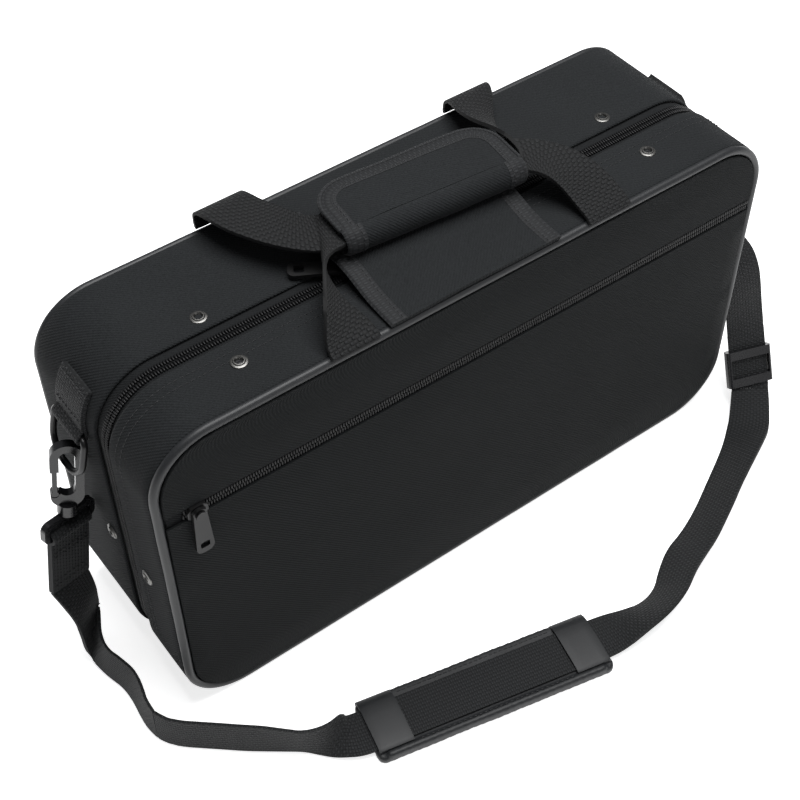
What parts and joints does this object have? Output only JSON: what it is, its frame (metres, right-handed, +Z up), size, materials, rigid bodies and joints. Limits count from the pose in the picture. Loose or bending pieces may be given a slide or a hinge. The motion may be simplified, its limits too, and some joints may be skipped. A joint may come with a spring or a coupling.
{
  "type": "instrument case",
  "caption": "Soft cloth-covered clarinet case with a zipped hinged lid, front pocket, carrying handle with grip, fitted interior and clip-on shoulder strap.",
  "frame": {"origin": "middle of the underside that the case stands on", "axes": "+X along the case's length, -Y out of the pocket side, +Z up to the handle"},
  "size_m": [0.4519, 0.2288, 0.2315],
  "materials": {
    "case_cloth": "fine twill, matte",
    "pocket_cloth": "fine twill, matte",
    "piping": "soft satin",
    "stiffener": "plain ply",
    "plush": "short velvet pile",
    "zipper_tape": "woven, matte",
    "zipper_coil": "satin",
    "zipper_metal": "satin black",
    "rivet_metal": "bright, worn",
    "webbing": "coarse weave",
    "strap_webbing": "ribbed weave",
    "hardware": "glossy moulded",
    "ring_metal": "satin black",
    "pad_vinyl": "smooth, slight sheen",
    "hook_and_loop": "looped pile"
  },
  "bodies": {
    "base": {"base_cover": "case_cloth", "base_piping": "piping", "base_frame": "stiffener", "base_rivets": "rivet_metal", "base_zipper_tape": "zipper_tape", "base_zipper_chain": "zipper_coil", "base_hinge_cloth": "case_cloth", "instrument_insert": "plush", "closure_loop_patch": "hook_and_loop", "back_handle_webbing": "webbing", "left_ring_tab": "webbing", "right_ring_tab": "webbing", "strap_left_run": "strap_webbing", "strap_right_run": "strap_webbing"},
    "lid": {"lid_cover": "case_cloth", "lid_piping": "piping", "lid_frame": "stiffener", "lid_rivets": "rivet_metal", "lid_zipper_tape": "zipper_tape", "lid_zipper_chain": "zipper_coil", "lid_hinge_cloth": "case_cloth", "lid_padding": "plush", "pocket_lower_panel": "pocket_cloth", "pocket_upper_panel": "pocket_cloth", "pocket_zipper_tape": "zipper_tape", "pocket_zipper_chain": "zipper_coil", "closure_flap": "case_cloth", "front_handle_webbing": "webbing", "grip_wrap": "case_cloth", "strap_front_run": "strap_webbing"},
    "grip_flap": {"grip_flap": "case_cloth"},
    "left_slider": {"left_zipper_slider": "zipper_metal"},
    "left_pull": {"left_zipper_pull": "zipper_metal"},
    "right_slider": {"right_zipper_slider": "zipper_metal"},
    "right_pull": {"right_zipper_pull": "zipper_metal"},
    "pocket_slider": {"pocket_zipper_slider": "zipper_metal"},
    "pocket_pull": {"pocket_zipper_pull": "zipper_metal"},
    "left_ring": {"left_d_ring": "ring_metal", "left_swivel_eye": "hardware", "left_strap_end": "strap_webbing"},
    "left_hook": {"left_snap_hook": "hardware"},
    "left_gate": {"left_hook_gate": "hardware"},
    "right_ring": {"right_d_ring": "ring_metal", "right_swivel_eye": "hardware", "right_strap_end": "strap_webbing"},
    "right_hook": {"right_snap_hook": "hardware"},
    "right_gate": {"right_hook_gate": "hardware"},
    "adjuster": {"strap_adjuster": "hardware"},
    "pad": {"shoulder_pad": "pad_vinyl", "pad_keepers": "pad_vinyl"}
  },
  "joints": [
    {"name": "lid_hinge", "type": "hinge", "parent": "base", "child": "lid", "pos_m": [0, -0.0125, -0.0005], "axis": [1, 0, 0], "range_deg": [0, 180]},
    {"name": "grip_flap_hinge", "type": "hinge", "parent": "lid", "child": "grip_flap", "pos_m": [-0.00075, -0.01347, 0.2315], "axis": [0.9969, -0.0785, 0], "range_deg": [0, 150]},
    {"name": "left_slider_slide", "type": "slide", "parent": "base", "child": "left_slider", "axis": [-1, 0, 0], "range_m": [0, 0.099]},
    {"name": "right_slider_slide", "type": "slide", "parent": "base", "child": "right_slider", "axis": [1, 0, 0], "range_m": [0, 0.187]},
    {"name": "left_pull_lift", "type": "hinge", "parent": "left_slider", "child": "left_pull", "pos_m": [-0.0522, -0.0125, 0.2109], "axis": [0.5299, 0.848, 0], "range_deg": [0, 20]},
    {"name": "right_pull_lift", "type": "hinge", "parent": "right_slider", "child": "right_pull", "pos_m": [-0.0358, -0.0125, 0.2109], "axis": [0, -1, 0], "range_deg": [0, 6]},
    {"name": "pocket_slider_slide", "type": "slide", "parent": "lid", "child": "pocket_slider", "axis": [1, 0, 0], "range_m": [0, 0.33]},
    {"name": "pocket_pull_swing", "type": "hinge", "parent": "pocket_slider", "child": "pocket_pull", "pos_m": [-0.169, -0.059, 0.159], "axis": [0, 1, 0], "range_deg": [-80, 80]},
    {"name": "left_ring_swing", "type": "hinge", "parent": "base", "child": "left_ring", "pos_m": [-0.1935, 0.0155, 0.168], "axis": [0, 1, 0], "range_deg": [0, 60]},
    {"name": "left_hook_swivel", "type": "hinge", "parent": "left_ring", "child": "left_hook", "pos_m": [-0.20482, 0.0155, 0.11582], "axis": [0.1736, 0, 0.9848], "range_deg": [-8, 52]},
    {"name": "left_gate", "type": "hinge", "parent": "left_hook", "child": "left_gate", "pos_m": [-0.20878, 0.0178, 0.12555], "axis": [0.3738, 0.9252, -0.0659], "range_deg": [0, 25], "stiffness_Nm_per_rad": 0.01, "springref_deg": -2.29},
    {"name": "right_ring_swing", "type": "hinge", "parent": "base", "child": "right_ring", "pos_m": [0.1935, 0.0155, 0.168], "axis": [0, -1, 0], "range_deg": [0, 60]},
    {"name": "right_hook_swivel", "type": "hinge", "parent": "right_ring", "child": "right_hook", "pos_m": [0.2069, 0.0155, 0.1207], "axis": [0, 0, 1], "range_deg": [-20, 20]},
    {"name": "right_gate", "type": "hinge", "parent": "right_hook", "child": "right_gate", "pos_m": [0.21295, 0.0155, 0.1296], "axis": [0, -1, 0], "range_deg": [0, 25], "stiffness_Nm_per_rad": 0.01, "springref_deg": -2.29},
    {"name": "adjuster_slide", "type": "slide", "parent": "base", "child": "adjuster", "axis": [0.1909, 0.5003, 0.8445], "range_m": [0, 0.0105]},
    {"name": "pad_slide", "type": "slide", "parent": "lid", "child": "pad", "axis": [0.9767, -0.2147, 0], "range_m": [-0.007, 0.007]}
  ]
}
